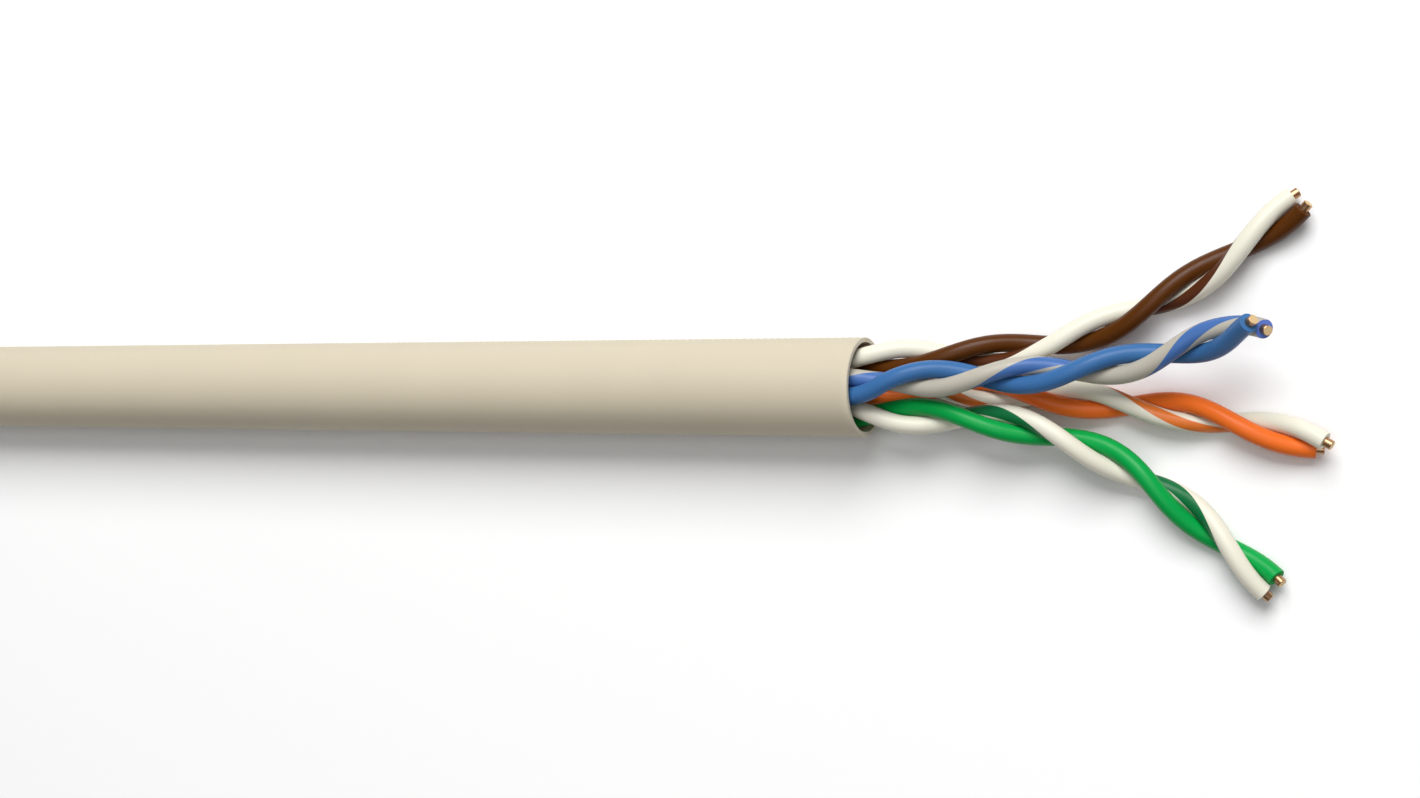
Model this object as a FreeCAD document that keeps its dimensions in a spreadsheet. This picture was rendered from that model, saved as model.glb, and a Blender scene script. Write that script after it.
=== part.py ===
import FreeCAD, Part
import Sketcher
import math
import os
from FreeCAD import Vector

# A cut length of unshielded twisted-pair data cable.  The round sheath lies along X and ends in a
# square cut at x = 0, the mouth.  Four twisted pairs run through it side by side and fan out
# beyond the mouth, towards +X.  The cable lies on a table, so +Z is up and the underside of the
# sheath is the lowest line of the part.  Every size is in millimetres.

# --------------------------------------------------------------------------------------- sizes
SIZES = [
    ("sheath_length", 65.0, "sheath, from the far cut to the mouth"),
    ("sheath_wall", 0.248, "sheath wall"),
    ("insulation_dia", 0.93, "outside diameter of one insulated conductor"),
    ("conductor_dia", 0.48, "bare solid copper"),
    ("pair_gap", 0.02, "clearance between the two conductors of a pair"),
    ("core_clearance", 0.0156, "clearance between the four pairs and the sheath bore"),
    ("fan_length", 20.0, "reach of the fanned pairs beyond the mouth, the unit of the routes' x"),
    ("stub_length", 0.4, "copper left bare at each tip"),
    ("corners_per_lay", 10, "corners of a winding path in one full twist"),
]

# The straight runs of a winding path pass the middle of the pair at half the spacing of the two
# conductors, so its corners lie a little further out, and the bore is made to clear the corners.
DERIVED = [
    ("nest_radius", "sqrt(2) * (insulation_dia + 2 * pair_gap)", "cable axis to the middle of a pair"),
    ("corner_radius", "(insulation_dia + pair_gap) / 2 / cos(180 / corners_per_lay)", "pair to a corner"),
    ("core_radius", "nest_radius + corner_radius + insulation_dia / 2", "around the four pairs"),
    ("sheath_bore", "2 * (core_radius + core_clearance)", "inside diameter"),
    ("sheath_od", "sheath_bore + 2 * sheath_wall", "outside diameter"),
]

# Each pair: which side of the cable axis it lies on inside the sheath (y, z), the length of one
# full twist, the hand of the twist (+1 turns from +Y to +Z going towards +X), the angle of the
# coloured conductor at the mouth in degrees, and how much shorter than the longest tip the
# coloured and the white conductor are cut.
PAIRS = {
    "brown": dict(side=(1, 0), lay=10.55, hand=-1, angle=246.0, short=(0.1, 0.1)),
    "blue": dict(side=(0, 1), lay=9.6, hand=-1, angle=161.0, short=(0.0, 0.3)),
    "green": dict(side=(-1, 0), lay=10.05, hand=1, angle=255.0, short=(0.25, 0.2)),
    "orange": dict(side=(0, -1), lay=10.2, hand=1, angle=147.0, short=(0.45, 0.0)),
}

# Middle line of each pair beyond the mouth.  x is a share of fan_length; y and z are multiples
# of nest_radius.  The line is the smooth curve steered by these points.
ROUTES = {
    "brown": [(0.1, 1.1, -0.09), (0.25, 1.2, -0.31), (0.45, 1.36, -0.72), (0.6, 2.11, -0.98),
              (0.775, 3.25, -1.13), (0.95, 4.85, -1.18), (1.08, 6.5, -1.28)],
    "blue": [(0.1, 0.25, 1.01), (0.25, 0.32, 0.88), (0.4, 0.38, 0.75), (0.55, 0.52, 0.57),
             (0.7, 0.82, 0.44), (0.82, 1.22, 0.47), (0.925, 1.72, 1.03), (1.0, 2.0, 1.62),
             (1.033, 2.03, 2.2)],
    "green": [(0.1, -1.1, 0.03), (0.25, -1.05, 0.0), (0.4, -1.32, -0.07), (0.55, -1.95, -0.41),
              (0.7, -3.09, -0.96), (0.85, -4.69, -1.17), (1.025, -7.05, -1.23)],
    "orange": [(0.1, 0.05, -1.07), (0.25, -0.06, -1.11), (0.45, -0.33, -1.18),
               (0.675, -0.6, -1.18), (0.925, -1.13, -1.18), (1.145, -2.0, -1.2)],
}

SAMPLES_PER_SPAN = 40


def make_sheet(doc):
    sheet = doc.addObject("Spreadsheet::Sheet", "Sizes")
    for row, (name, value, note) in enumerate(SIZES + DERIVED, start=1):
        text = "=" + value if isinstance(value, str) else str(value)
        sheet.set(f"A{row}", name)
        sheet.set(f"B{row}", text)
        sheet.set(f"C{row}", note)
        sheet.setAlias(f"B{row}", name)
    doc.recompute()
    return sheet


def size(sheet, name):
    return float(getattr(sheet, name))


# -------------------------------------------------------------------------------------- routes
def smooth_curve(points):
    """The quadratic curve with even knots that starts and ends on its first and last point."""
    spans = len(points) - 2
    curve = Part.BSplineCurve()
    curve.buildFromPolesMultsKnots(points, [3] + [1] * (spans - 1) + [3], list(range(spans + 1)), False, 2)
    return curve, spans


def control_points(sheet, pair):
    """Straight along the sheath as far as the mouth, then the hand-placed points of the fan."""
    nest = size(sheet, "nest_radius")
    length = size(sheet, "sheath_length")
    reach = size(sheet, "fan_length")
    side_y, side_z = PAIRS[pair]["side"]
    stops = (-length, -length / 2, -0.04 * reach, 0.04 * reach)
    inside = [Vector(x, side_y * nest, side_z * nest) for x in stops]
    return inside + [Vector(x * reach, y * nest, z * nest) for x, y, z in ROUTES[pair]]


def sampled_line(sheet, pair):
    """Points close together on the middle line, with the distance run at each."""
    curve, spans = smooth_curve(control_points(sheet, pair))
    count = spans * SAMPLES_PER_SPAN
    line = [curve.value(spans * i / count) for i in range(count + 1)]
    run = [0.0]
    for a, b in zip(line, line[1:]):
        run.append(run[-1] + a.distanceToPoint(b))
    return line, run


def at_run(line, run, distance):
    """Point and direction of the middle line at a distance from its start."""
    i = 1
    while i < len(run) - 1 and run[i] < distance:
        i += 1
    share = (distance - run[i - 1]) / (run[i] - run[i - 1])
    return line[i - 1] + (line[i] - line[i - 1]) * share, direction_at(line, run, i, share)


def direction_at(line, run, i, share):
    """Direction blended between the two samples, so the twist turns evenly along a bend."""
    before = (line[i] - line[max(i - 2, 0)]).normalize()
    after = (line[min(i + 1, len(line) - 1)] - line[i - 1]).normalize()
    return (before * (1 - share) + after * share).normalize()


def run_at_mouth(line, run):
    """Distance run where the middle line passes x = 0."""
    for a, b, s, e in zip(line, line[1:], run, run[1:]):
        if a.x <= 0.0 < b.x:
            return s + (e - s) * (0.0 - a.x) / (b.x - a.x)
    raise ValueError("the middle line never passes the mouth")


def conductor_points(sheet, pair, white):
    """Corners of one conductor's winding path, from the far cut to its tip."""
    spec = PAIRS[pair]
    line, run = sampled_line(sheet, pair)
    mouth = run_at_mouth(line, run)
    radius = size(sheet, "corner_radius")
    step = spec["lay"] / size(sheet, "corners_per_lay")
    end = run[-1] - spec["short"][1 if white else 0]
    count = int((end - step) / step)
    stops = [step + (end - step) * i / count for i in range(count + 1)]
    corners = []
    for stop in stops:
        middle, along = at_run(line, run, stop)
        turn = math.radians(spec["angle"] + (180 if white else 0))
        turn += spec["hand"] * 2 * math.pi * (stop - mouth) / spec["lay"]
        side = (Vector(0, 1, 0) - along * along.y).normalize()
        up = along.cross(side)
        corners.append(middle + side * radius * math.cos(turn) + up * radius * math.sin(turn))
    start = Vector(line[0].x, corners[0].y, corners[0].z)
    return [start] + corners


def bend_radii(points):
    """Radius at each inner corner that uses nine tenths of the shorter run beside it."""
    radii = []
    for a, b, c in zip(points, points[1:], points[2:]):
        half_turn = (b - a).getAngle(c - b) / 2
        radii.append(0.45 * min(b.distanceToPoint(a), c.distanceToPoint(b)) / math.tan(half_turn))
    return radii


def rounded_wire(points, radii):
    """Straight runs joined by tangent arcs."""
    edges = []
    here = points[0]
    for a, b, c, radius in zip(points, points[1:], points[2:], radii):
        back = (a - b).normalize()
        ahead = (c - b).normalize()
        half_turn = (math.pi - back.getAngle(ahead)) / 2
        cut = radius * math.tan(half_turn)
        start = b + back * cut
        end = b + ahead * cut
        inward = (back + ahead).normalize()
        middle = b + inward * (radius / math.cos(half_turn) - radius)
        edges.append(Part.makeLine(here, start))
        edges.append(Part.Arc(start, middle, end).toShape())
        here = end
    edges.append(Part.makeLine(here, points[-1]))
    return Part.Wire(edges)


# --------------------------------------------------------------------------------------- parts
def make_sheath(doc):
    body = doc.addObject("PartDesign::Body", "sheath")
    sketch = doc.addObject("Sketcher::SketchObject", "sheath_section")
    body.addObject(sketch)
    plane = [o for o in body.Origin.OriginFeatures if o.Role == "YZ_Plane"][0]
    sketch.AttachmentSupport = (plane, [""])
    sketch.MapMode = "FlatFace"
    for index, name in enumerate(("sheath_od", "sheath_bore")):
        sketch.addGeometry(Part.Circle(Vector(0, 0, 0), Vector(0, 0, 1), 2.0 + index))
        sketch.addConstraint(Sketcher.Constraint("Coincident", index, 3, -1, 1))
        row = sketch.addConstraint(Sketcher.Constraint("Diameter", index, 4.0 + 2 * index))
        sketch.renameConstraint(row, name)
        sketch.setExpression(f"Constraints.{name}", f"Sizes.{name}")
    pad = doc.addObject("PartDesign::Pad", "sheath_tube")
    body.addObject(pad)
    pad.Profile = sketch
    pad.Reversed = True
    pad.setExpression("Length", "Sizes.sheath_length")
    body.Tip = pad
    body.Label = "sheath"
    return body


def make_path(doc, name, points, radii):
    path = doc.addObject("Part::Feature", name)
    path.Shape = rounded_wire(points, radii)
    return path


def make_round(doc, name, path, start, along, diameter_cell):
    """A round bar swept along a path; its diameter is bound to one cell of the sheet."""
    section = doc.addObject("Part::Circle", name + "_section")
    section.setExpression("Radius", f"Sizes.{diameter_cell} / 2")
    section.Placement = FreeCAD.Placement(start, FreeCAD.Rotation(Vector(0, 0, 1), along))
    bar = doc.addObject("Part::Sweep", name)
    bar.Sections = [section]
    bar.Spine = (path, [])
    bar.Solid = True
    bar.Frenet = False
    return bar


def make_conductor(doc, sheet, pair, white):
    """The copper and the insulation of one conductor."""
    name = ("white_" if white else "") + pair
    points = conductor_points(sheet, pair, white)
    radii = bend_radii(points)
    print(f"{name}: {len(points)} points, smallest bend radius {min(radii):.2f}")
    last = (points[-1] - points[-2]).normalize()
    bare_end = points[:-1] + [points[-1] + last * size(sheet, "stub_length")]
    along = points[1] - points[0]
    covered = make_path(doc, name + "_covered_path", points, radii)
    full = make_path(doc, name + "_full_path", bare_end, radii)
    copper = make_round(doc, "copper_" + name, full, points[0], along, "conductor_dia")
    outside = make_round(doc, name + "_outside", covered, points[0], along, "insulation_dia")
    cover = doc.addObject("Part::Cut", "insulation_" + name)
    cover.Base = outside
    cover.Tool = copper
    for part in (copper, cover):
        part.Label = part.Name
    print(f"  tip {tuple(round(v, 2) for v in points[-1])} pointing {tuple(round(v, 3) for v in last)}")
    return [cover, copper]


def check(doc, parts):
    for obj in doc.Objects:
        if "Invalid" in obj.State or "Error" in obj.State:
            raise RuntimeError(f"{obj.Label} failed to build: {obj.State}")
    for part in parts:
        shape = part.Shape
        if shape.isNull() or not shape.isValid() or len(shape.Solids) != 1:
            raise RuntimeError(f"{part.Label} is not one valid solid")


def main():
    doc = FreeCAD.newDocument("data_cable")
    sheet = make_sheet(doc)
    parts = [make_sheath(doc)]
    for pair in PAIRS:
        for white in (False, True):
            parts += make_conductor(doc, sheet, pair, white)
    doc.recompute()
    check(doc, parts)
    os.makedirs("parts", exist_ok=True)
    for part in parts:
        part.Shape.exportStep(f"parts/{part.Label}.step")
        box = part.Shape.BoundBox
        print(f"{part.Label}: volume {part.Shape.Volume:.3f}, z {box.ZMin:.3f} to {box.ZMax:.3f},"
              f" x {box.XMin:.2f} to {box.XMax:.2f}, faces {len(part.Shape.Faces)}")
    print(f"sheath outside diameter {size(sheet, 'sheath_od'):.4f}, bore {size(sheet, 'sheath_bore'):.4f}")


main()
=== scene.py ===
# %% [markdown]
# # A stripped data cable, piece by piece
#
# The object is a cut length of unshielded twisted-pair cable. A beige-grey sheath lies along X and
# ends in a square cut, the mouth, at x = 0. Four pairs of insulated copper conductors come out of
# it and fan towards +X: brown, blue, green and orange, each with a white mate that carries one
# stripe of the pair's colour.
#
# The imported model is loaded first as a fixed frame. Each of its pieces is then replaced by one with
# smoother lines and a real finish, in the same place. Every length is in metres.

# %% Load the frame
import bpy
import math
from mathutils import Matrix, Vector


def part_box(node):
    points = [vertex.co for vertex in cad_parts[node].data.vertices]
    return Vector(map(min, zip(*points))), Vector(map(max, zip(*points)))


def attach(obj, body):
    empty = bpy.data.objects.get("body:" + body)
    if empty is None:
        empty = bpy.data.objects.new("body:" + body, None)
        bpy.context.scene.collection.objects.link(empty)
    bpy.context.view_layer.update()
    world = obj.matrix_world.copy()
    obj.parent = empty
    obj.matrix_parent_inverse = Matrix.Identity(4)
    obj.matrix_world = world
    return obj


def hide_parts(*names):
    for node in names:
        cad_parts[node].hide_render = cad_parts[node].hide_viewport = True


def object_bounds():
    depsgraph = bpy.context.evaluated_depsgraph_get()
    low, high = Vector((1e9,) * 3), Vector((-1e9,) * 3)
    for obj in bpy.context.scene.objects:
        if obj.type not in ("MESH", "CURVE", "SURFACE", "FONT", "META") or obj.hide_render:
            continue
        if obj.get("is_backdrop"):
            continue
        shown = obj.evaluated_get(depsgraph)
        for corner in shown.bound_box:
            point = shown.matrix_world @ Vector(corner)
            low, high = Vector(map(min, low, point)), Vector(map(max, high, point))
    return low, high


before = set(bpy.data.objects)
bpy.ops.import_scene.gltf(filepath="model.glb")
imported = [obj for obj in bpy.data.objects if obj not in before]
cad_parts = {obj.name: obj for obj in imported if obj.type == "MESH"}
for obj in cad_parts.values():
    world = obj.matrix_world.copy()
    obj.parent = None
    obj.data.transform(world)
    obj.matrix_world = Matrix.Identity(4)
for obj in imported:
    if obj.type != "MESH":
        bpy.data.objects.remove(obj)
cad_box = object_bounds()
MM = 0.001
print("pieces in the frame:", len(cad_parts))

# %% [markdown]
# The cable lies on a table and the camera looks down on it, leaning back along the sheath by
# about 27 degrees, so the sheath runs away to the left and the fanned tips are nearest. A camera
# could be aimed with a Track To constraint, but two plain turns say the same and leave nothing to
# be worked out later. The lens is of the plain 50 mm class, close enough to the cable that the
# far end of the sheath looks a fifth thinner.

# %% Camera
LEAN = math.radians(26.75)
ROLL = math.radians(0.22)
CAMERA_PLACE = Vector((39.57, -0.65, 96.5)) * MM
LENS = 50.7
NEAREST_SEEN = 2.0 * MM

camera_data = bpy.data.cameras.new("camera")
camera_data.sensor_width = 36.0
camera_data.lens = LENS
camera_data.clip_start = NEAREST_SEEN
camera = bpy.data.objects.new("camera", camera_data)
bpy.context.scene.collection.objects.link(camera)
aim = Matrix.Rotation(LEAN, 4, "Y") @ Matrix.Rotation(ROLL, 4, "Z")
camera.matrix_world = Matrix.Translation(CAMERA_PLACE) @ aim
bpy.context.scene.camera = camera
print("camera", tuple(round(v, 4) for v in CAMERA_PLACE))

# %% [markdown]
# The sizes of the cable. The four pairs lie in a square inside the sheath: the middle of each pair
# is one nest radius from the cable's axis. The sheath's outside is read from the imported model, so
# the two can't drift apart, and its underside is the table.

# %% Sizes
SHEATH_LENGTH = 65.0 * MM
FAN_LENGTH = 20.0 * MM
INSULATION = 0.93 * MM
COPPER = 0.48 * MM
PAIR_GAP = 0.02 * MM
EXTRA_GAP = 0.003 * MM
SHEATH_WALL = 0.248 * MM
STUB = 0.4 * MM
NEST = math.sqrt(2) * (INSULATION + 2 * PAIR_GAP)
TWIST_RADIUS = (INSULATION + PAIR_GAP) / 2 + EXTRA_GAP
low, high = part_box("sheath")
SHEATH_OD = high.y - low.y
SHEATH_BORE = SHEATH_OD - 2 * SHEATH_WALL
TABLE = low.z
print("sheath", round(SHEATH_OD / MM, 3), "mm across, table at", round(TABLE / MM, 3), "mm")

# %% [markdown]
# Each pair is described by the side of the cable that it keeps to inside the sheath, the length of
# one full twist, the hand of the twist, the angle of its coloured conductor at the mouth, and how
# much shorter than the longest tip its coloured and white conductors are cut. In the fan its middle
# line is steered by a few points: x is a share of the fan's reach, and y and z are multiples of the
# nest radius. Most of these numbers are rounded results of a numerical fit, and the rest were set
# one by one.

# %% The four pairs
PAIRS = {
    "brown": dict(side=(1, 0), lay=10.55, hand=-1, angle=246.0, short=(0.1, 0.1)),
    "blue": dict(side=(0, 1), lay=9.6, hand=-1, angle=161.0, short=(0.0, 0.3)),
    "green": dict(side=(-1, 0), lay=10.05, hand=1, angle=255.0, short=(0.25, 0.2)),
    "orange": dict(side=(0, -1), lay=10.2, hand=1, angle=147.0, short=(0.45, 0.0)),
}
FAN = {
    "brown": [(0.1, 1.1, -0.09), (0.25, 1.2, -0.31), (0.45, 1.36, -0.72), (0.6, 2.11, -0.98),
              (0.775, 3.25, -1.13), (0.95, 4.85, -1.18), (1.08, 6.5, -1.28)],
    "blue": [(0.1, 0.25, 1.01), (0.25, 0.32, 0.88), (0.4, 0.38, 0.75), (0.55, 0.52, 0.57),
             (0.7, 0.82, 0.44), (0.82, 1.22, 0.47), (0.925, 1.72, 1.03), (1.0, 2.0, 1.62),
             (1.033, 2.03, 2.2)],
    "green": [(0.1, -1.1, 0.03), (0.25, -1.05, 0.0), (0.4, -1.32, -0.07), (0.55, -1.95, -0.41),
              (0.7, -3.09, -0.96), (0.85, -4.69, -1.17), (1.025, -7.05, -1.23)],
    "orange": [(0.1, 0.05, -1.07), (0.25, -0.06, -1.11), (0.45, -0.33, -1.18),
               (0.675, -0.6, -1.18), (0.925, -1.13, -1.18), (1.145, -2.0, -1.2)],
}
print("points in the fan:", {pair: len(points) for pair, points in FAN.items()})

# %% [markdown]
# A wire bends under its own stiffness, so the middle line of a pair never kinks. Bezier handles
# could give that, but each would have to be set by hand. A NURBS curve of order 3 takes the few
# points as they are and stays smooth. Order and end points are set after the points are in, or
# the curve would stay straight runs. Inside the sheath a pair runs straight, and it is held
# straight a little way past the mouth by two points close together.

# %% Route curves
NEAR_MOUTH = 0.04 * FAN_LENGTH


def route_curve(name, points):
    """A NURBS curve of order 3 through control points, held at its two ends."""
    curve = bpy.data.curves.new(name, "CURVE")
    curve.dimensions = "3D"
    curve.resolution_u = 32
    spline = curve.splines.new("NURBS")
    spline.points.add(len(points) - 1)
    for point, place in zip(spline.points, points):
        point.co = (*place, 1.0)
    spline.order_u = 3
    spline.use_endpoint_u = True
    return curve


def pair_points(pair):
    """Control points of one pair, the same as the CAD route."""
    side_y, side_z = PAIRS[pair]["side"]
    stops = (-SHEATH_LENGTH, -SHEATH_LENGTH / 2, -NEAR_MOUTH, NEAR_MOUTH)
    inside = [(x, side_y * NEST, side_z * NEST) for x in stops]
    return inside + [(x * FAN_LENGTH, y * NEST, z * NEST) for x, y, z in FAN[pair]]


routes = {pair: route_curve("route_" + pair, pair_points(pair)) for pair in PAIRS}
routes["sheath"] = route_curve("route_sheath", [(x * SHEATH_LENGTH, 0, 0) for x in (-1, -0.5, 0)])
print("routes:", ", ".join(routes))

# %% [markdown]
# The twist is timed from the mouth, so the distance run from the far cut to the mouth is measured on
# the evaluated line of each route, which a curve with no bevel gives as the edges of a mesh.

# %% Measure the routes
def line_points(curve_object):
    """Points along a curve object with no bevel, read from its evaluated line."""
    graph = bpy.context.evaluated_depsgraph_get()
    line = bpy.data.meshes.new_from_object(curve_object.evaluated_get(graph))
    points = [v.co.copy() for v in line.vertices]
    bpy.data.meshes.remove(line)
    return points


def run_length(points):
    return sum((b - a).length for a, b in zip(points, points[1:]))


mouth_run = {}
for name, curve in routes.items():
    probe = bpy.data.objects.new("probe", curve)
    bpy.context.scene.collection.objects.link(probe)
    points = line_points(probe)
    mouth_run[name] = run_length([p for p in points if p.x <= 0])
    bpy.data.objects.remove(probe)
    total, mouth = round(run_length(points) / MM, 2), round(mouth_run[name] / MM, 2)
    print(name, "line is", total, "mm, mouth at", mouth)

# %% [markdown]
# Node trees are easier to read when each node is one line. These helpers make a node, set its
# options and connect its inputs: an input given as a socket is linked, and a plain value is typed
# in. Inputs are named or numbered.

# %% Node and tree makers
def node(tree, kind, inputs=(), **options):
    made = tree.nodes.new(kind)
    for key, value in options.items():
        setattr(made, key, value)
    pairs = inputs.items() if isinstance(inputs, dict) else enumerate(inputs)
    for key, value in pairs:
        if isinstance(value, bpy.types.NodeSocket):
            tree.links.new(value, made.inputs[key])
        elif value is not None:
            made.inputs[key].default_value = value
    return made


def tree_with(kind, name, ins, outs):
    """A node group whose named sockets are made through its interface."""
    tree = bpy.data.node_groups.new(name, kind)
    for label, socket, value in ins:
        made = tree.interface.new_socket(label, in_out="INPUT", socket_type=socket)
        if value is not None:
            made.default_value = value
    for label, socket in outs:
        tree.interface.new_socket(label, in_out="OUTPUT", socket_type=socket)
    entry = tree.nodes.new("NodeGroupInput").outputs
    leave = tree.nodes.new("NodeGroupOutput").inputs
    return tree, entry, leave


print("makers: node, tree_with")

# %% [markdown]
# Sums on single values, on vectors and on colours come up in every tree, for shapes as for
# finishes, so each kind has a short helper of its own. Math nodes could be wired one by one, but
# a tree written as sums reads like the geometry it stands for.

# %% Sums in a node tree
def calc(tree, operation, *values):
    return node(tree, "ShaderNodeMath", values, operation=operation).outputs[0]


def vec(tree, operation, *values):
    made = node(tree, "ShaderNodeVectorMath", values, operation=operation)
    return made.outputs["Value" if operation in ("DOT_PRODUCT", "LENGTH") else "Vector"]


def scaled(tree, vector, factor):
    made = node(tree, "ShaderNodeVectorMath", {"Vector": vector, "Scale": factor}, operation="SCALE")
    return made.outputs["Vector"]


def blend(tree, factor, first, second):
    """Colour that goes from first to second as factor goes from 0 to 1."""
    return node(tree, "ShaderNodeMix", {0: factor, 6: first, 7: second}, data_type="RGBA").outputs[2]


def ramp(tree, value, low, high, to_low=0.0, to_high=1.0):
    inputs = {"Value": value, "From Min": low, "From Max": high, "To Min": to_low, "To Max": to_high}
    return node(tree, "ShaderNodeMapRange", inputs).outputs[0]


FLOAT, VECTOR, COLOR = "NodeSocketFloat", "NodeSocketVector", "NodeSocketColor"
GEOMETRY, INTEGER, MATERIAL = "NodeSocketGeometry", "NodeSocketInt", "NodeSocketMaterial"
print("helpers: calc, vec, scaled, blend, ramp")

# %% [markdown]
# One conductor of a pair winds round the pair's line like the thread of a screw. It could be a
# helix bent along the line with a Curve modifier, but that stretches where the line bends. The
# first tree makes the winding from the line itself: it samples the line finely and works out, at
# every sample, the angle that the twist has reached and two directions square to the line.

# %% Winding line tree: angle and directions
wind, entry, leave = tree_with(
    "GeometryNodeTree", "Winding line",
    [("Route", GEOMETRY, None), ("Twist Radius", FLOAT, 0.0), ("Lay", FLOAT, 0.01), ("Hand", FLOAT, 1.0),
     ("Angle At Mouth", FLOAT, 0.0), ("Run To Mouth", FLOAT, 0.0), ("Cut Short", FLOAT, 0.0),
     ("Sample", FLOAT, 0.0002)],
    [("Line", GEOMETRY)])
fine = node(wind, "GeometryNodeResampleCurve", {"Curve": entry["Route"], "Length": entry["Sample"]},
            mode="LENGTH")
along = node(wind, "GeometryNodeInputTangent").outputs[0]
run = node(wind, "GeometryNodeSplineParameter").outputs["Length"]
turns = calc(wind, "DIVIDE", calc(wind, "SUBTRACT", run, entry["Run To Mouth"]), entry["Lay"])
turned = calc(wind, "MULTIPLY", turns, entry["Hand"])
angle = calc(wind, "MULTIPLY_ADD", turned, 2 * math.pi, entry["Angle At Mouth"])
lean = vec(wind, "DOT_PRODUCT", along, (0, 1, 0))
side = vec(wind, "NORMALIZE", vec(wind, "SUBTRACT", (0, 1, 0), scaled(wind, along, lean)))
over = vec(wind, "CROSS_PRODUCT", along, side)
print("winding line tree has", len(wind.nodes), "nodes so far")

# %% [markdown]
# It then pushes every sample sideways by the twist radius. The direction of the push is kept as an
# attribute called outward, because the stripe on the insulation has to turn with the twist and not
# with the room. Last, the line is trimmed to the length that this conductor was cut to.

# %% Winding line tree: push and cut
push = vec(wind, "ADD", scaled(wind, side, calc(wind, "COSINE", angle)),
           scaled(wind, over, calc(wind, "SINE", angle)))
kept = node(wind, "GeometryNodeStoreNamedAttribute",
            {"Geometry": fine.outputs[0], "Name": "outward", "Value": push},
            data_type="FLOAT_VECTOR", domain="POINT")
offset = scaled(wind, push, entry["Twist Radius"])
moved = node(wind, "GeometryNodeSetPosition", {"Geometry": kept.outputs[0], "Offset": offset})
total = node(wind, "GeometryNodeCurveLength", {"Curve": moved.outputs[0]}).outputs[0]
cut = node(wind, "GeometryNodeTrimCurve", {"Curve": moved.outputs[0]}, mode="LENGTH")
cut.inputs[4].default_value = 0.0
wind.links.new(calc(wind, "SUBTRACT", total, entry["Cut Short"]), cut.inputs[5])
wind.links.new(cut.outputs[0], leave["Line"])
print("winding line tree has", len(wind.nodes), "nodes")

# %% [markdown]
# The second tree is a skin between two rings on a line: a grid with one side along the line and
# the other round it. Curve to Mesh could sweep a circle, but it gives no bore, no cut faces and no
# rounded edges. A ring here is given by its distance along the line and its radius, so one tree
# makes an outer wall, an inner wall, a flat cut face or a rounded edge.

# %% Skin tree: a grid as shares of the way along and round
skin, entry, leave = tree_with(
    "GeometryNodeTree", "Skin between two rings",
    [("Line", GEOMETRY, None), ("From Run", FLOAT, 0.0), ("From Radius", FLOAT, 0.0),
     ("To Run", FLOAT, 0.0), ("To Radius", FLOAT, 0.0), ("Rings", INTEGER, 2), ("Sides", INTEGER, 24),
     ("Cut Face", FLOAT, 0.0)],
    [("Skin", GEOMETRY)])
points_round = calc(skin, "ADD", entry["Sides"], 1.0)
grid = node(skin, "GeometryNodeMeshGrid",
            {"Size X": 1.0, "Size Y": 1.0, "Vertices X": entry["Rings"],
             "Vertices Y": points_round}).outputs[0]
place = node(skin, "ShaderNodeSeparateXYZ", [node(skin, "GeometryNodeInputPosition").outputs[0]]).outputs
share = calc(skin, "ADD", place["X"], 0.5)
angle = calc(skin, "MULTIPLY", calc(skin, "ADD", place["Y"], 0.5), 2 * math.pi)
run = ramp(skin, share, 0.0, 1.0, entry["From Run"], entry["To Run"])
radius = ramp(skin, share, 0.0, 1.0, entry["From Radius"], entry["To Radius"])
print("skin tree has", len(skin.nodes), "nodes so far")

# %% [markdown]
# Each point of the grid then looks up its place on the line, the line's direction there, and the
# outward direction that the winding left behind. A ray square to the line, turned from outward by
# the point's angle, is the way from the line to the surface.

# %% Skin tree: the ray from the line to the surface
outward = node(skin, "GeometryNodeInputNamedAttribute", {"Name": "outward"},
               data_type="FLOAT_VECTOR").outputs[0]
sample = node(skin, "GeometryNodeSampleCurve",
              {"Curves": entry["Line"], "Value": outward, "Length": run},
              mode="LENGTH", data_type="FLOAT_VECTOR").outputs
along = vec(skin, "NORMALIZE", sample["Tangent"])
forward = scaled(skin, along, vec(skin, "DOT_PRODUCT", sample[0], along))
facing = vec(skin, "SUBTRACT", sample[0], forward)
facing = vec(skin, "NORMALIZE", facing)
across = vec(skin, "CROSS_PRODUCT", along, facing)
cosine, sine = calc(skin, "COSINE", angle), calc(skin, "SINE", angle)
ray = vec(skin, "ADD", scaled(skin, facing, cosine), scaled(skin, across, sine))
print("skin tree has", len(skin.nodes), "nodes so far")

# %% [markdown]
# The whole cable was cut through at once at its far end, while each tip was cut square on its own.
# So the rings near the start lean into one flat plane, within the flush run, and the others stay
# square to the line. A run past the line's end goes straight on, which the bare copper needs.
# Each point keeps where it is round and along the conductor, for the stripe and the drawn
# grain, and each face keeps whether it is a cut face.

# %% Skin tree: flush far cut, and what the finish needs
FLUSH_RUN = 1.0 * MM

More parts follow.
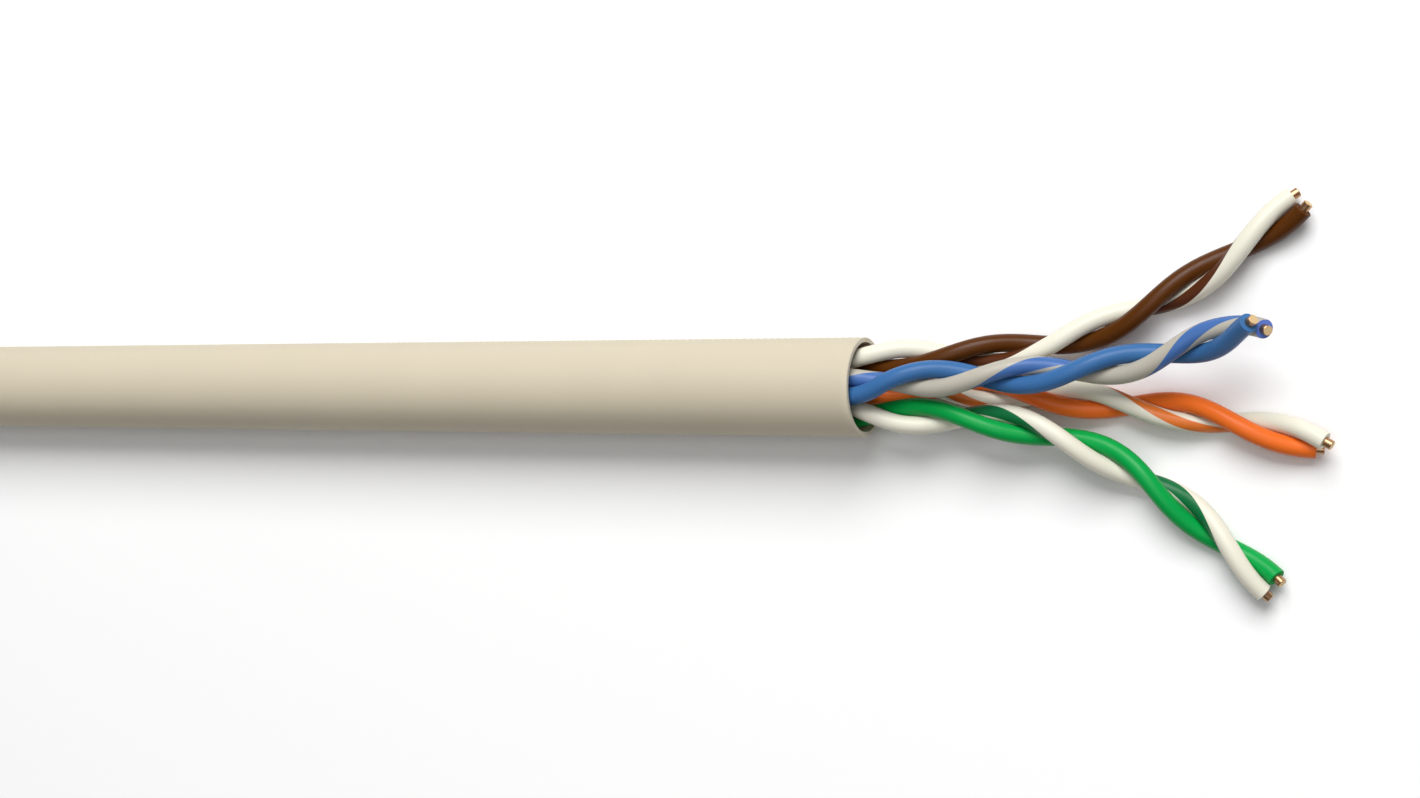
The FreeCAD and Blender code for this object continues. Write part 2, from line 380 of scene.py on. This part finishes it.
length = node(skin, "GeometryNodeCurveLength", {"Curve": entry["Line"]}).outputs[0]
past = calc(skin, "MAXIMUM", calc(skin, "SUBTRACT", run, length), 0.0)
ray_x = vec(skin, "DOT_PRODUCT", ray, (1, 0, 0))
along_x = vec(skin, "DOT_PRODUCT", along, (1, 0, 0))
tilt = calc(skin, "MULTIPLY", radius, calc(skin, "DIVIDE", ray_x, along_x))
flush = calc(skin, "MULTIPLY", tilt, ramp(skin, run, 0.0, FLUSH_RUN, -1.0, 0.0))
shift = scaled(skin, along, calc(skin, "ADD", past, flush))
point = vec(skin, "ADD", vec(skin, "ADD", sample["Position"], scaled(skin, ray, radius)), shift)
round_run = node(skin, "ShaderNodeCombineXYZ", [cosine, sine, run]).outputs[0]
grid = node(skin, "GeometryNodeStoreNamedAttribute",
            {"Geometry": grid, "Name": "round_run", "Value": round_run},
            data_type="FLOAT_VECTOR", domain="POINT").outputs[0]
grid = node(skin, "GeometryNodeStoreNamedAttribute",
            {"Geometry": grid, "Name": "cut_face", "Value": entry["Cut Face"]},
            data_type="FLOAT", domain="FACE").outputs[0]
grid = node(skin, "GeometryNodeSetPosition", {"Geometry": grid, "Position": point}).outputs[0]
skin.links.new(grid, leave["Skin"])
print("skin tree has", len(skin.nodes), "nodes")

# %% [markdown]
# A drawn or extruded length is a closed set of skins. The third tree starts with its line and with
# the distances at which its rings sit. Length Over lets the copper run on straight past the end of
# its insulation.

# %% Extruded length tree: its line and its ends
tube, entry, leave = tree_with(
    "GeometryNodeTree", "Extruded length",
    [("Route", GEOMETRY, None), ("Twist Radius", FLOAT, 0.0), ("Lay", FLOAT, 0.01), ("Hand", FLOAT, 1.0),
     ("Angle At Mouth", FLOAT, 0.0), ("Run To Mouth", FLOAT, 0.0), ("Cut Short", FLOAT, 0.0),
     ("Outer Radius", FLOAT, 0.001), ("Bore Radius", FLOAT, 0.0), ("Edge", FLOAT, 0.00002),
     ("Length Over", FLOAT, 0.0), ("Rings", INTEGER, 400), ("Sides", INTEGER, 24),
     ("Material", MATERIAL, None)],
    [("Geometry", GEOMETRY)])
line = node(tube, "GeometryNodeGroup", node_tree=wind)
for label in ("Route", "Twist Radius", "Lay", "Hand", "Angle At Mouth", "Run To Mouth", "Cut Short"):
    tube.links.new(entry[label], line.inputs[label])
line = line.outputs[0]
total = node(tube, "GeometryNodeCurveLength", {"Curve": line}).outputs[0]
end = calc(tube, "ADD", total, entry["Length Over"])
edge, outer, bore = entry["Edge"], entry["Outer Radius"], entry["Bore Radius"]
before_end = calc(tube, "SUBTRACT", end, edge)
inside_edge = calc(tube, "SUBTRACT", outer, edge)
print("extruded length tree has", len(tube.nodes), "nodes so far")

# %% [markdown]
# The skins go round in order: outer wall, bevelled edge and flat face at the tip, bore, then the
# flat face and bevelled edge of the far cut. A solid wire is the same with no bore: its cut faces
# close at the middle, and the bore's own skin is switched off.

# %% Extruded length tree: the six skins
NO_BORE = 0.001 * MM
BORE_SKIN = 3

skins = [
    (edge, outer, before_end, outer, entry["Rings"], 0.0),
    (before_end, outer, end, inside_edge, 2, 0.0),
    (end, inside_edge, end, bore, 2, 1.0),
    (end, bore, 0.0, bore, entry["Rings"], 0.0),
    (0.0, bore, 0.0, inside_edge, 2, 1.0),
    (0.0, inside_edge, edge, outer, 2, 0.0),
]
joined = node(tube, "GeometryNodeJoinGeometry")
for index, (from_run, from_radius, to_run, to_radius, rings, cut) in enumerate(skins):
    part = node(tube, "GeometryNodeGroup", {}, node_tree=skin)
    values = {"Line": line, "From Run": from_run, "From Radius": from_radius, "To Run": to_run,
              "To Radius": to_radius, "Rings": rings, "Sides": entry["Sides"], "Cut Face": cut}
    for label, value in values.items():
        if isinstance(value, bpy.types.NodeSocket):
            tube.links.new(value, part.inputs[label])
        else:
            part.inputs[label].default_value = value
    made = part.outputs[0]
    if index == BORE_SKIN:
        hollow = node(tube, "FunctionNodeCompare", [bore, NO_BORE], data_type="FLOAT",
                      operation="GREATER_THAN").outputs[0]
        made = node(tube, "GeometryNodeSwitch", {"Switch": hollow, "True": made},
                    input_type="GEOMETRY").outputs[0]
    tube.links.new(made, joined.inputs[0])
print("extruded length tree has", len(tube.nodes), "nodes so far")

# %% [markdown]
# The rings that meet are welded, so the piece is one watertight mesh. Shading is smooth along the
# walls and breaks at every edge that turns sharply, which an Edge Split modifier would also do,
# but by tearing the mesh open. Realize Instances and Set Material end the tree.

# %% Extruded length tree: weld, shade and finish
WELD = 0.0005 * MM
SHARP_TURN = 0.6  # radians

merged = node(tube, "GeometryNodeMergeByDistance",
              {"Geometry": joined.outputs[0], "Distance": WELD}).outputs[0]
smooth = node(tube, "GeometryNodeSetShadeSmooth", {"Geometry": merged}).outputs[0]
turn = node(tube, "GeometryNodeInputMeshEdgeAngle").outputs["Unsigned Angle"]
crisp = node(tube, "FunctionNodeCompare", [turn, SHARP_TURN], data_type="FLOAT",
             operation="GREATER_THAN").outputs[0]
edged = node(tube, "GeometryNodeSetShadeSmooth",
             {"Geometry": smooth, "Selection": crisp, "Shade Smooth": False},
             domain="EDGE").outputs[0]
real = node(tube, "GeometryNodeRealizeInstances", {"Geometry": edged}).outputs[0]
finished = node(tube, "GeometryNodeSetMaterial",
                {"Geometry": real, "Material": entry["Material"]}).outputs[0]
tube.links.new(finished, leave["Geometry"])
print("extruded length tree has", len(tube.nodes), "nodes")

# %% [markdown]
# A piece is made by putting a route through a tree as a modifier, setting its inputs by the
# socket's identifier, and turning the result into a plain mesh, so that nothing is left live on it.

# %% Helpers that run a tree
def run_tree(name, curve, tree, values):
    """The mesh that a node tree makes from a curve with these named inputs."""
    source = bpy.data.objects.new(name, curve)
    bpy.context.scene.collection.objects.link(source)
    modifier = source.modifiers.new("tree", "NODES")
    modifier.node_group = tree
    sockets = {s.name: s.identifier for s in tree.interface.items_tree if s.in_out == "INPUT"}
    for label, value in values.items():
        modifier[sockets[label]] = value
    graph = bpy.context.evaluated_depsgraph_get()
    mesh = bpy.data.meshes.new_from_object(source.evaluated_get(graph), preserve_all_data_layers=True,
                                           depsgraph=graph)
    bpy.data.objects.remove(source)
    mesh.name = name
    return mesh


def twist_values(pair, white):
    """Inputs of the winding tree for one conductor of a pair."""
    spec = PAIRS[pair]
    return {
        "Twist Radius": TWIST_RADIUS,
        "Lay": spec["lay"] * MM,
        "Hand": float(spec["hand"]),
        "Angle At Mouth": math.radians(spec["angle"] + (180 if white else 0)),
        "Run To Mouth": mouth_run[pair],
        "Cut Short": spec["short"][1 if white else 0] * MM,
    }


def piece(name, mesh):
    made = bpy.data.objects.new(name, mesh)
    bpy.context.scene.collection.objects.link(made)
    return made


def volume(mesh):
    """Signed volume, positive when the faces point outwards."""
    total = 0.0
    mesh.calc_loop_triangles()
    for t in mesh.loop_triangles:
        a, b, c = (mesh.vertices[i].co for i in t.vertices)
        total += a.dot(b.cross(c)) / 6
    return total


print("helpers: run_tree, twist_values, piece, volume")

# %% [markdown]
# Materials come next, because the tree sets them. All the plastics here are extruded, so they
# share one effect: very fine lines drawn along the length by the die, a slow mottling of tone, and
# a slightly uneven gloss. Scratches in Object coordinates would run straight through the twist, so
# the lines read the round_run attribute and follow it. The mottling and the grain are the same
# in every direction, so they read Object coordinates.

# %% Extruded surface group: lines, mottling, grain and cut
LINE_STRETCH = 120.0  # noise cells for each metre along the line
GRAIN_SCALE = 9000.0

extruded, entry, leave = tree_with(
    "ShaderNodeTree", "Extruded surface",
    [("Color", COLOR, (0.8, 0.8, 0.8, 1)), ("Shade", COLOR, (0.6, 0.6, 0.6, 1)),
     ("Cut Color", COLOR, (0.8, 0.8, 0.8, 1)), ("Line Count", FLOAT, 8.0),
     ("Line Strength", FLOAT, 0.3), ("Mottle", FLOAT, 0.3), ("Mottle Size", FLOAT, 0.004),
     ("Gloss", FLOAT, 0.35), ("Depth", FLOAT, 0.00001)],
    [("Color", COLOR), ("Roughness", FLOAT), ("Normal", VECTOR)])
attribute = node(extruded, "ShaderNodeAttribute", attribute_name="round_run").outputs["Vector"]
parts = node(extruded, "ShaderNodeSeparateXYZ", [attribute]).outputs
round_x = calc(extruded, "MULTIPLY", parts[0], entry["Line Count"])
round_y = calc(extruded, "MULTIPLY", parts[1], entry["Line Count"])
slow_run = calc(extruded, "MULTIPLY", parts[2], LINE_STRETCH)
lines_at = node(extruded, "ShaderNodeCombineXYZ", [round_x, round_y, slow_run]).outputs[0]
lines = node(extruded, "ShaderNodeTexNoise",
             {"Vector": lines_at, "Scale": 1.0, "Detail": 5.0, "Roughness": 0.65}).outputs[0]
place = node(extruded, "ShaderNodeTexCoord").outputs["Object"]
mottle_at = scaled(extruded, place, calc(extruded, "DIVIDE", 1.0, entry["Mottle Size"]))
mottle = node(extruded, "ShaderNodeTexNoise", {"Vector": mottle_at, "Scale": 1.0, "Detail": 3.0}).outputs[0]
grain_at = scaled(extruded, place, GRAIN_SCALE)
grain = node(extruded, "ShaderNodeTexNoise", {"Vector": grain_at, "Scale": 1.0, "Detail": 2.0}).outputs[0]
cut = node(extruded, "ShaderNodeAttribute", attribute_name="cut_face").outputs["Fac"]
cut = ramp(extruded, cut, 0.5, 0.9)
print("extruded surface group has", len(extruded.nodes), "nodes so far")

# %% [markdown]
# Lines and mottling together shift the tone between the body colour and its shade. The tone is
# lifted in two clamped steps, so a little of the shade is always there. The lines also make the
# gloss uneven and, with the grain, raise a bump of a few thousandths of a millimetre. On a cut face
# all this gives way to one cut colour and a matt, sheared look.

# %% Extruded surface group: colour, gloss and bump
LEAST_TONE = 0.25
CUT_ROUGHNESS = 0.7

line_share = calc(extruded, "SUBTRACT", lines, 0.5)
tone = calc(extruded, "MULTIPLY", calc(extruded, "SUBTRACT", mottle, 0.5), entry["Mottle"])
tone = calc(extruded, "ADD", tone, calc(extruded, "MULTIPLY", line_share, entry["Line Strength"]))
for step in range(2):
    tone = node(extruded, "ShaderNodeMath", [tone, LEAST_TONE], operation="ADD", use_clamp=True).outputs[0]
body_color = blend(extruded, tone, entry["Color"], entry["Shade"])
extruded.links.new(blend(extruded, cut, body_color, entry["Cut Color"]), leave["Color"])
gloss = calc(extruded, "ADD", entry["Gloss"], calc(extruded, "MULTIPLY", line_share, 0.3))
extruded.links.new(ramp(extruded, cut, 0.0, 1.0, gloss, CUT_ROUGHNESS), leave["Roughness"])
line_height = calc(extruded, "MULTIPLY", lines, 0.8)
height = calc(extruded, "ADD", line_height, calc(extruded, "MULTIPLY", grain, 0.35))
bump = node(extruded, "ShaderNodeBump",
            {"Strength": 0.6, "Distance": entry["Depth"], "Height": height}).outputs[0]
extruded.links.new(bump, leave["Normal"])
print("extruded surface group has", len(extruded.nodes), "nodes")

# %% [markdown]
# The white mates carry one stripe in their surface along the whole length. It could be a second
# material on some of the faces, but its edge would then step from face to face. A mask compares where
# a point is round the conductor with the stripe's own angle. The stripe is known at the mouth and
# drifts slowly round the conductor as it goes on, and its edge wavers a little, as ink does when
# the line runs fast.

# %% Stripe group
WAVER_SCALE = 700.0  # noise cells for each metre along the line

stripe, entry, leave = tree_with(
    "ShaderNodeTree", "Lengthwise stripe",
    [("At Mouth", FLOAT, 0.0), ("Drift", FLOAT, 0.0), ("Mouth Run", FLOAT, 0.0),
     ("Half Width", FLOAT, 0.62), ("Softness", FLOAT, 0.035), ("Waver", FLOAT, 0.08)],
    [("Mask", FLOAT)])
attribute = node(stripe, "ShaderNodeAttribute", attribute_name="round_run").outputs["Vector"]
parts = node(stripe, "ShaderNodeSeparateXYZ", [attribute]).outputs
waver_run = calc(stripe, "MULTIPLY", parts[2], WAVER_SCALE)
waver_at = node(stripe, "ShaderNodeCombineXYZ", [0.0, 0.0, waver_run]).outputs[0]
waver = node(stripe, "ShaderNodeTexNoise", {"Vector": waver_at, "Scale": 1.0, "Detail": 3.0}).outputs[0]
past_mouth = calc(stripe, "SUBTRACT", parts[2], entry["Mouth Run"])
drifted = calc(stripe, "MULTIPLY_ADD", past_mouth, entry["Drift"], entry["At Mouth"])
centre = calc(stripe, "MULTIPLY_ADD", calc(stripe, "SUBTRACT", waver, 0.5), entry["Waver"], drifted)
match_x = calc(stripe, "MULTIPLY", parts[0], calc(stripe, "COSINE", centre))
match = calc(stripe, "MULTIPLY_ADD", parts[1], calc(stripe, "SINE", centre), match_x)
away = calc(stripe, "ARCCOSINE", calc(stripe, "MINIMUM", match, 0.9999))
inner = calc(stripe, "SUBTRACT", entry["Half Width"], entry["Softness"])
outer = calc(stripe, "ADD", entry["Half Width"], entry["Softness"])
stripe.links.new(ramp(stripe, away, inner, outer, 1.0, 0.0), leave["Mask"])
print("stripe group has", len(stripe.nodes), "nodes")

# %% [markdown]
# Colours are given as they would be picked on a screen and turned to the linear values that a
# shader works in. Each plastic has its body colour, a slightly darker shade for the mottling and a
# colour where it is cut. One function builds them all, so the sheath and the eight insulations stay
# one family. Gloss and shine that are the same all over are typed into the shader itself.

# %% A plastic from the two groups
SHADE_SHARE = 0.86


def screen(red, green, blue):
    """Linear colour from three values of 0 to 255."""
    channels = [c / 255 for c in (red, green, blue)]
    return (*[c / 12.92 if c <= 0.04045 else ((c + 0.055) / 1.055) ** 2.4 for c in channels], 1.0)


def shade_of(color):
    return (*[c * SHADE_SHARE for c in color[:3]], 1.0)


def plastic(name, color, cut_color, stripe_color=None, stripe_values=None, roughness=0.38, shine=0.28,
            **surface):
    """A material with the extruded surface and, on a white mate, its stripe."""
    material = bpy.data.materials.new(name)
    material.use_nodes = True
    tree = material.node_tree
    shader = tree.nodes["Principled BSDF"]
    look = node(tree, "ShaderNodeGroup", {}, node_tree=extruded)
    values = {"Color": color, "Shade": shade_of(color), "Cut Color": cut_color, "Gloss": roughness,
              **surface}
    for label, value in values.items():
        look.inputs[label].default_value = value
    if stripe_color is not None:
        band = node(tree, "ShaderNodeGroup", {}, node_tree=stripe)
        for label, value in stripe_values.items():
            band.inputs[label].default_value = value
        for label, base, mark in (("Color", color, stripe_color),
                                  ("Shade", shade_of(color), shade_of(stripe_color))):
            tree.links.new(blend(tree, band.outputs[0], base, mark), look.inputs[label])
    for label, socket in (("Color", "Base Color"), ("Roughness", "Roughness"), ("Normal", "Normal")):
        tree.links.new(look.outputs[label], shader.inputs[socket])
    shader.inputs["Specular IOR Level"].default_value = shine
    return material


print("a plastic has a base of", len(extruded.nodes), "nodes, and a stripe adds", len(stripe.nodes))

# %% [markdown]
# The sheath is soft, matt plastic. The coloured insulations have a low satin sheen, and the white
# mates a little more. A stripe is set by its angle at the mouth, in degrees from the side that faces
# away from the mate, and by how many degrees it drifts in each millimetre. The white mates of the
# blue and the green pair show their stripe's colour across the cut face.

# %% The nine plastics
IVORY = screen(228, 224, 207)
COLORS = {"brown": screen(84, 44, 6), "blue": screen(58, 106, 160), "green": screen(6, 158, 70),
          "orange": screen(238, 112, 38)}
# The blue pair's white mate is painted shade: the same ivory plastic, given the darker grey tone that a
# white strand shows in shadow.
WHITES_WITH_PAINTED_SHADE = {"brown": IVORY, "blue": screen(180, 175, 162), "green": IVORY, "orange": IVORY}
BAND_WIDTH = {"brown": 0.62, "blue": 0.8, "green": 0.7, "orange": 0.62}
STRIPES = {"brown": screen(84, 42, 18), "blue": screen(66, 106, 168), "green": screen(16, 108, 60),
           "orange": screen(220, 116, 44)}
STRIPE_AT = {"brown": (-140, 1.9), "blue": (130, -3.9), "green": (112, 0.0), "orange": (-14, -4.2)}
CUT_WHITE = {"brown": IVORY, "blue": screen(88, 118, 200), "green": screen(24, 118, 64), "orange": IVORY}
sheath_surface = {"Line Count": 26.0, "Line Strength": 0.22, "Mottle": 0.35, "Depth": 0.012 * MM}
thin_surface = {"Depth": 0.005 * MM}
materials = {"sheath": plastic("sheath plastic", screen(203, 193, 171), screen(212, 204, 186),
                               roughness=0.5, shine=0.14, **sheath_surface)}
for pair in PAIRS:
    at_mouth, drift = STRIPE_AT[pair]
    winding = math.hypot(1.0, 2 * math.pi * TWIST_RADIUS / (PAIRS[pair]["lay"] * MM))
    band = {"At Mouth": math.radians(at_mouth), "Drift": math.radians(drift) / MM,
            "Mouth Run": SHEATH_LENGTH * winding, "Half Width": BAND_WIDTH[pair]}
    materials[pair] = plastic(pair + " insulation", COLORS[pair], COLORS[pair], roughness=0.34,
                              shine=0.17, **thin_surface)
    materials["white_" + pair] = plastic("white insulation with " + pair + " stripe", WHITES_WITH_PAINTED_SHADE[pair],
                                         CUT_WHITE[pair], STRIPES[pair], band, **thin_surface)
print("plastics:", len(materials))

# %% [markdown]
# The copper is bright and solid. Drawing it through a die leaves fine lines along its length, and
# the cutter leaves a duller, sheared face. It uses the same surface group as the plastics, with
# stronger lines, on a metallic shader that turns less metallic where the wire is cut.

# %% Drawn copper
copper = bpy.data.materials.new("drawn copper")
copper.use_nodes = True
tree = copper.node_tree
shader = tree.nodes["Principled BSDF"]
look = node(tree, "ShaderNodeGroup", {}, node_tree=extruded)
for label, value in {"Color": screen(212, 170, 132), "Shade": screen(164, 120, 86),
                     "Cut Color": screen(222, 194, 146), "Line Count": 14.0, "Line Strength": 0.9,
                     "Gloss": 0.36, "Depth": 0.006 * MM}.items():
    look.inputs[label].default_value = value
for label, socket in (("Color", "Base Color"), ("Roughness", "Roughness"), ("Normal", "Normal")):
    tree.links.new(look.outputs[label], shader.inputs[socket])
cut_face = node(tree, "ShaderNodeAttribute", attribute_name="cut_face").outputs["Fac"]
tree.links.new(ramp(tree, cut_face, 0.5, 0.9, 1.0, 0.55), shader.inputs["Metallic"])
print("drawn copper has", len(tree.nodes), "nodes")

# %% [markdown]
# Now the pieces. Each insulation is a hollow length that winds with its pair, and its copper is a
# solid length on the same winding line that runs on past it. They could be one mesh with two
# materials, but the real wire slides out of its insulation when that is stripped, so each is a piece
# of its own.

# %% Conductors
made = {}
lines = {}
for pair in PAIRS:
    for white in (False, True):
        name = ("white_" if white else "") + pair
        twist = twist_values(pair, white)
        centre = run_tree("line", routes[pair], wind, twist)
        lines[name] = [v.co.copy() for v in centre.vertices]
        bpy.data.meshes.remove(centre)
        cover = {**twist, "Outer Radius": INSULATION / 2, "Bore Radius": COPPER / 2, "Edge": 0.025 * MM,
                 "Rings": 420, "Sides": 28, "Material": materials[name]}
        wire = {**twist, "Outer Radius": COPPER / 2, "Bore Radius": 0.0, "Edge": 0.02 * MM,
                "Rings": 420, "Sides": 16, "Length Over": STUB, "Material": copper}
        for kind, node_kind, shape in (("cover_", "insulation_", cover), ("wire_", "copper_", wire)):
            made[node_kind + name] = piece(kind + name, run_tree(kind + name, routes[pair], tube, shape))
        faces = len(made["insulation_" + name].data.polygons)
        print(name, round(run_length(lines[name]) / MM, 2), "mm;", faces, "faces")

# %% [markdown]
# The sheath is the same kind of extruded length, straight and much wider, with its two cuts square.
# A cylinder with a Solidify modifier would have the shape, but not the round_run and cut_face
# attributes that its finish reads.

# %% Sheath
shape = {"Twist Radius": 0.0, "Run To Mouth": mouth_run["sheath"], "Outer Radius": SHEATH_OD / 2,
         "Bore Radius": SHEATH_BORE / 2, "Edge": 0.04 * MM, "Rings": 160, "Sides": 128,
         "Material": materials["sheath"]}
made["sheath"] = piece("jacket", run_tree("jacket", routes["sheath"], tube, shape))
print("jacket has", len(made["sheath"].data.polygons), "faces")

# %% [markdown]
# Faces have to point outwards. A closed mesh tells by its signed volume, which comes out negative
# when it is inside out, and then every face is turned round.

# %% Faces outwards
for name, thing in made.items():
    if volume(thing.data) < 0:
        thing.data.flip_normals()
    if name in ("sheath", "insulation_blue", "copper_blue"):
        print(name, "volume", round(volume(thing.data) * 1e9, 2), "cubic mm")

# %% [markdown]
# Each piece stands for its CAD node and rides on the one body. The sheath and the eight insulated
# conductors are flexible cable. They leave from the far cut, and each insulated conductor carries its
# copper inside it.

# %% Tie the pieces to the frame
for name, thing in made.items():
    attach(thing, "root")
    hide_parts(name)
print(len(made), "pieces on one body,", len(lines) + 1, "of them cords")

# %% [markdown]
# The setting is a plain pale tabletop just under the sheath. It is matt and nearly white, so it
# reads as bare ground, and it throws soft light back on the undersides as real paper would.

# %% Table
TABLE_SIZE = 3.0
TABLE_TONE = 0.88
TABLE_DROP = 0.02 * MM

bpy.ops.mesh.primitive_plane_add(size=TABLE_SIZE, location=(0, 0, TABLE - TABLE_DROP))
table = bpy.context.object
table.name = "tabletop"
paper = bpy.data.materials.new("pale tabletop")
paper.use_nodes = True
shader = paper.node_tree.nodes["Principled BSDF"]
shader.inputs["Base Color"].default_value = (TABLE_TONE, TABLE_TONE, TABLE_TONE, 1)
shader.inputs["Roughness"].default_value = 0.9
shader.inputs["Specular IOR Level"].default_value = 0.0
table.data.materials.append(paper)
table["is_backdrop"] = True
print("tabletop", TABLE_SIZE, "m wide at", round((TABLE - TABLE_DROP) / MM, 3), "mm")

# %% [markdown]
# A large soft key light stands behind and above, a weaker one overhead fills the near side, and a
# faint pale surround keeps the shadows open. Point lights or a sun would cut hard shadow edges.
# Big area lights, close to so small a thing, give the plastic long soft highlights. The Standard
# view keeps the colours of the insulation as strong as they are.

# %% Lights
def soft_light(name, place, target, size, power):
    """A square soft light aimed at a point."""
    data = bpy.data.lights.new(name, "AREA")
    data.shape = "SQUARE"
    data.size = size
    data.energy = power
    lamp = bpy.data.objects.new(name, data)
    lamp.location = place
    lamp.rotation_euler = (Vector(target) - Vector(place)).to_track_quat("-Z", "Y").to_euler()
    bpy.context.scene.collection.objects.link(lamp)
    return lamp


soft_light("key", place=(0.08, 0.36, 0.44), target=(-0.01, 0, 0), size=0.36, power=4.0)
soft_light("fill", place=(0.06, -0.02, 0.6), target=(0, 0, 0), size=0.4, power=1.0)
world = bpy.data.worlds.new("surround")
world.use_nodes = True
backdrop = world.node_tree.nodes["Background"]
backdrop.inputs["Color"].default_value = (1, 1, 1, 1)
backdrop.inputs["Strength"].default_value = 0.1
bpy.context.scene.world = world
bpy.context.scene.view_settings.view_transform = "Standard"
print("lights:", [lamp.name for lamp in bpy.data.lights])

# %% [markdown]
# Last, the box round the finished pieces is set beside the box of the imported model. The two should
# agree to a few hundredths of a millimetre, because a change of looks is no change of size.

# %% Measure and finish
visual_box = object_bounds()
for corner, (cad, visual) in enumerate(zip(cad_box, visual_box)):
    print("corner", corner, [round(c / MM, 3) for c in cad], [round(c / MM, 3) for c in visual])
